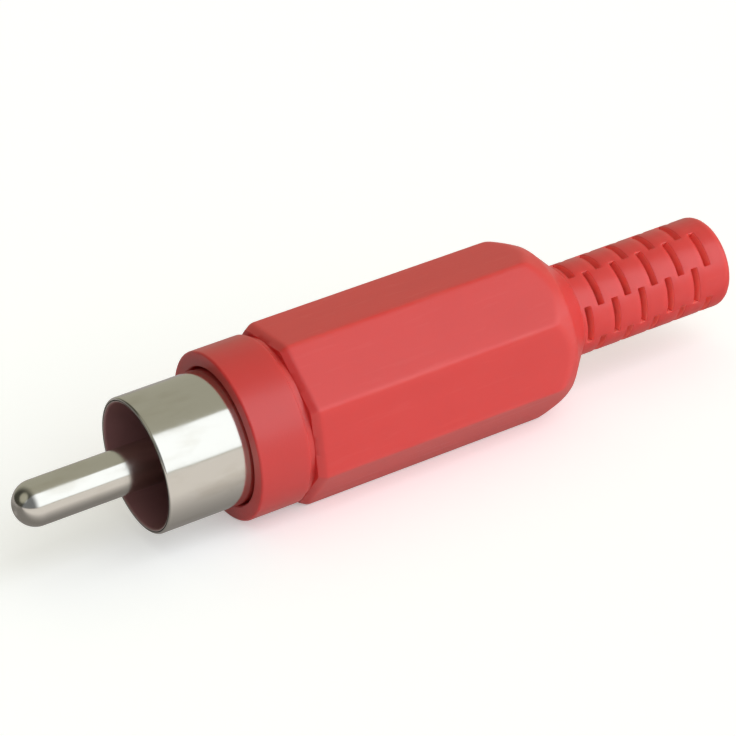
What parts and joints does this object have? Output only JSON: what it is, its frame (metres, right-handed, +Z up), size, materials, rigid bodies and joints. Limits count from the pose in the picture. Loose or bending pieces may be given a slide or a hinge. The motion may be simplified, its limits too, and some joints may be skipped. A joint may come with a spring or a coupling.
{
  "type": "rca plug",
  "caption": "Solder-type phono plug: bright pin and shell, red screw-on hood with octagonal grip and slotted strain relief.",
  "frame": {"origin": "on the surface that the plug lies on, under the middle of its length", "axes": "+X along the plug's axis from the pin to the cable end, +Z up from the resting flat of the grip, +Y to the left when looking along +X"},
  "size_m": [0.0558, 0.012, 0.0121],
  "materials": {
    "nickel_plate": "bright nickel plate on drawn brass, faint drawing lines",
    "black_plastic": "moulded black plastic, satin",
    "tinned_steel": "dull tin plate on sheet steel",
    "phenolic": "pressed brown phenolic board",
    "tinned_brass": "tin plate on sheet brass",
    "red_plastic": "moulded red plastic, semi-gloss"
  },
  "bodies": {
    "insert": {"centre_pin": "nickel_plate", "ground_shell": "nickel_plate", "front_insulator": "black_plastic", "ground_tag": "tinned_steel", "rear_insulator": "phenolic", "centre_tag": "tinned_brass"},
    "hood": {"hood": "red_plastic"}
  },
  "joints": [
    {"name": "hood_slide", "type": "slide", "parent": "insert", "child": "hood", "axis": [1, 0, 0], "range_m": [0, 0.0225]}
  ]
}
